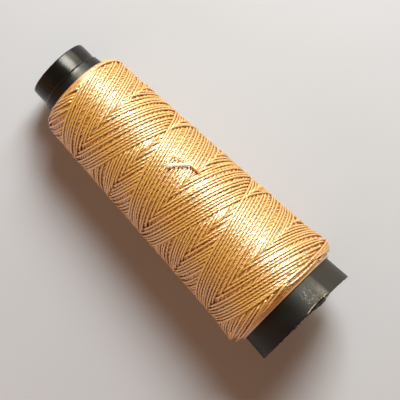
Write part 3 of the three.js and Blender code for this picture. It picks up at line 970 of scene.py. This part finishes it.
def plastic_material():
    """Places on it are in the tube map's degrees, and millimetres from the edge of the large rim's bore."""
    nodes = Nodes("black_satin_plastic")
    where = nodes.where()
    places = nodes.map("tube_map")
    parts = nodes.add("ShaderNodeSeparateXYZ", {"Vector": places}).outputs
    angle, section = parts["X"], parts["Y"]
    turning_marks = nodes.noise(nodes.mapped(places, (0.012, 6.0, 1)), 1.0, 3.0, 0.6)
    scratches = nodes.noise(nodes.mapped(places, (0.5, 1.6, 1)), 1.0, 4.0, 0.7)
    grain = nodes.noise(where, 2600.0, 3.0, 0.65)
    clouds = nodes.noise(where, 160.0, 3.0)
    marks = nodes.noise(where, 2000.0, 2.0, 0.7)

    # The large end is worn dull. A pale streak, paler towards the rim, and scuffs lie beside the burr.
    worn = nodes.minus(1.0, nodes.rise(section, 40, 60))
    streak = nodes.times(nodes.band(angle, -30.5, 1.0, 5.5), worn)
    streak = nodes.times(streak, nodes.rise(scratches, 0.20, 0.66))
    beside_burr = nodes.band(angle, -19.0, 5.0, 6.0)
    scuffs = nodes.times(beside_burr, nodes.band(section, 4.0, 2.0, 2.0))
    scuffs = nodes.times(scuffs, nodes.rise(marks, 0.51, 0.66))
    # Painted highlight: a thin pale line along the broken edge over the burr, where the rim's edge catches
    # the light. It stands partly for paler fractured plastic as well.
    along_burr = nodes.band(angle, -18.0, 12.0, 3.0)
    broken = nodes.times(along_burr, nodes.band(section, 1.78, 0.12, 0.12))
    broken = nodes.times(broken, nodes.rise(marks, 0.36, 0.52))
    towards_rim = nodes.plus(nodes.times(nodes.rise(section, 8.0, 2.5), 0.22), 0.10)
    streak = nodes.times(streak, towards_rim)
    pale = nodes.math("MAXIMUM", streak, nodes.times(scuffs, 0.36))
    pale = nodes.math("MAXIMUM", pale, broken)
    # Painted sheen: the large end's side towards the lamps is painted paler, where their light falls on it.
    lamp_side_sheen = nodes.times(worn, 0.035)
    lamp_side_sheen = nodes.times(nodes.band(angle, -62.0, 18.0, 12.0), lamp_side_sheen)
    pale = nodes.math("MAXIMUM", pale, lamp_side_sheen)

    colour = nodes.ramp(clouds, [(0.3, (0.0035, 0.0031, 0.0028)), (0.7, (0.0070, 0.0062, 0.0056))])
    colour = nodes.mix(pale, colour, (0.44, 0.355, 0.275))

    # It is satin, smoother on the collar and duller where it is worn.
    on_collar = nodes.rise(section, 94.6, 95.8)
    smooth = nodes.plus(nodes.times(clouds, 0.12), 0.31)
    smooth = nodes.minus(smooth, nodes.times(on_collar, 0.15))
    dull = nodes.plus(nodes.times(clouds, 0.10), 0.42)
    share = nodes.times(worn, nodes.minus(dull, smooth))
    roughness = nodes.plus(smooth, share)
    relief = nodes.plus(nodes.times(turning_marks, 0.7), nodes.times(grain, 0.3))
    bump = nodes.add("ShaderNodeBump", {"Height": relief, "Strength": 0.6, "Distance": 0.00004})
    return nodes.shade(
        Base_Color=colour,
        Roughness=roughness,
        Specular_IOR_Level=0.36,
        Specular_Tint=(1.0, 0.84, 0.77, 1),
        Normal=bump.outputs["Normal"],
    )


def floor_material():
    """A pale floor. It darkens under the lamps, which would bleach it there in a low view."""
    nodes = Nodes("pale_cloth_floor")
    where = nodes.where()
    broad = nodes.noise(where, 6.0, 3.0)
    colour = nodes.ramp(broad, [(0.3, (0.470, 0.430, 0.466)), (0.7, (0.495, 0.453, 0.490))])
    away = nodes.add("ShaderNodeVectorMath", {0: where, 1: UNDER_LAMPS}, operation="DISTANCE")
    under_lamps = nodes.rise(away.outputs["Value"], 0.31, 0.10)
    colour = nodes.mix(under_lamps, colour, (0.27, 0.25, 0.265))
    return nodes.shade(Base_Color=colour, Roughness=1.0, Specular_IOR_Level=0.0)


# ---- Making it ----

outline = Outline()
winding = Winding(outline)
golden = thread_material()

points, outward, length = centre_line(winding, 2 * HIDDEN_PAIRS)
pieces = []
for number, first in enumerate(range(0, len(points) - 1, RINGS_PER_PIECE)):
    part = slice(first, first + RINGS_PER_PIECE + 1)
    name = f"thread_winding_{number + 1}"
    pieces.append(thread_piece(name, points[part], outward[part], length[part], golden))

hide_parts("thread_outer_winding")

last_run = outline.run[-1]
small_turns = end_turns(outline, 0.60 * MM, 2.2 * MM, turns=2.4, start=1.0)
large_turns = end_turns(outline, last_run - 0.60 * MM, last_run - 2.0 * MM, turns=2.1, start=4.0)
pieces.append(thread_piece("small_end_turns", *small_turns, golden))
pieces.append(thread_piece("large_end_turns", *large_turns, golden))

under_layers = inner_layers_piece(winding, golden)
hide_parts("thread_inner_layers")
loosened = fibre_material("loosened_ply", [
    (0.3, (0.98, 0.50, 0.15)),
    (0.5, (1.0, 0.62, 0.30)),
    (0.7, (1.0, 0.74, 0.50)),
])
opened = fibre_material("opened_fibres", [
    (0.3, (0.98, 0.62, 0.32)),
    (0.5, (1.0, 0.78, 0.58)),
    (0.7, (1.0, 0.88, 0.78)),
])
loose_end = loose_end_pieces(golden, loosened, opened)
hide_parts("thread_tail")
for piece in pieces + [under_layers] + loose_end:
    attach(piece, "root")

tube = cone_tube_piece(plastic_material())
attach(tube, "root")
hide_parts("cone_tube")


# ---- Stage, light and camera ----

FLOOR_WIDTH = 2.4
UNDER_LAMPS = (0.22, -0.42, 0)  # on the floor

bpy.ops.mesh.primitive_plane_add(size=FLOOR_WIDTH)
floor = bpy.context.object
floor.name = "floor"
floor.data.materials.append(floor_material())


def area_light(name, place, size, power, colour):
    """A square lamp that points at the spool."""
    data = bpy.data.lights.new(name, "AREA")
    data.size = size
    data.energy = power
    data.color = colour
    lamp = new_object(name, data)
    lamp.location = place
    lamp.rotation_euler = (SPOOL_CENTRE - Vector(place)).to_track_quat("-Z", "Y").to_euler()
    return lamp


SPOOL_CENTRE = Vector((0, 0, 0.02))
area_light("key", (0.195, -0.335, 0.43), size=0.25, power=5.3, colour=(0.86, 1.0, 0.95))
area_light("window", (0.36, -0.75, 0.36), size=0.50, power=3.6, colour=(0.88, 1.0, 0.84))
fill = area_light("fill", (-0.1, 0.75, 0.24), size=0.80, power=2.5, colour=(1.0, 0.82, 0.68))
fill.visible_glossy = False  # it stands for light from the whole room, so it makes no highlight


def make_room(stops):
    """Light from all round, with a colour for each height over the horizon."""
    world = bpy.data.worlds.new("studio")
    bpy.context.scene.world = world
    world.use_nodes = True
    nodes, links = world.node_tree.nodes, world.node_tree.links
    direction = nodes.new("ShaderNodeSeparateXYZ")
    links.new(nodes.new("ShaderNodeTexCoord").outputs["Generated"], direction.inputs[0])
    wall_to_ceiling = nodes.new("ShaderNodeValToRGB")
    set_stops(wall_to_ceiling.color_ramp, stops)
    links.new(direction.outputs["Z"], wall_to_ceiling.inputs["Fac"])
    links.new(wall_to_ceiling.outputs["Color"], nodes["Background"].inputs["Color"])


make_room([
    (0.03, (0.54, 0.475, 0.37)),
    (0.20, (0.53, 0.300, 0.135)),
    (0.50, (0.37, 0.180, 0.060)),
    (0.78, (0.08, 0.045, 0.02)),
])

CAMERA_LENS = 149.13
CAMERA_SENSOR = 36
CAMERA_DISTANCE = 468.3 * MM
CAMERA_LEAN = 1.466 * DEG  # from straight above, towards the large end
CAMERA_ROLL = 45.15 * DEG
AIM_AT = 55.6 * MM
AIM_ASIDE = -2.2 * MM


def make_camera():
    data = bpy.data.cameras.new("camera")
    data.lens = CAMERA_LENS
    data.sensor_width = CAMERA_SENSOR
    camera = new_object("camera", data)
    back = Vector((-math.sin(CAMERA_LEAN), 0, math.cos(CAMERA_LEAN)))
    along = (ALONG - ALONG.dot(back) * back).normalized()
    right = math.cos(CAMERA_ROLL) * along - math.sin(CAMERA_ROLL) * SIDE
    up = back.cross(right)
    aim = SMALL_FACE + AIM_AT * ALONG + AIM_ASIDE * SIDE
    turn = Matrix((right, up, back)).transposed().to_4x4()
    camera.matrix_world = Matrix.Translation(aim + CAMERA_DISTANCE * back) @ turn
    bpy.context.scene.camera = camera


make_camera()
bpy.context.scene.view_settings.view_transform = "Standard"
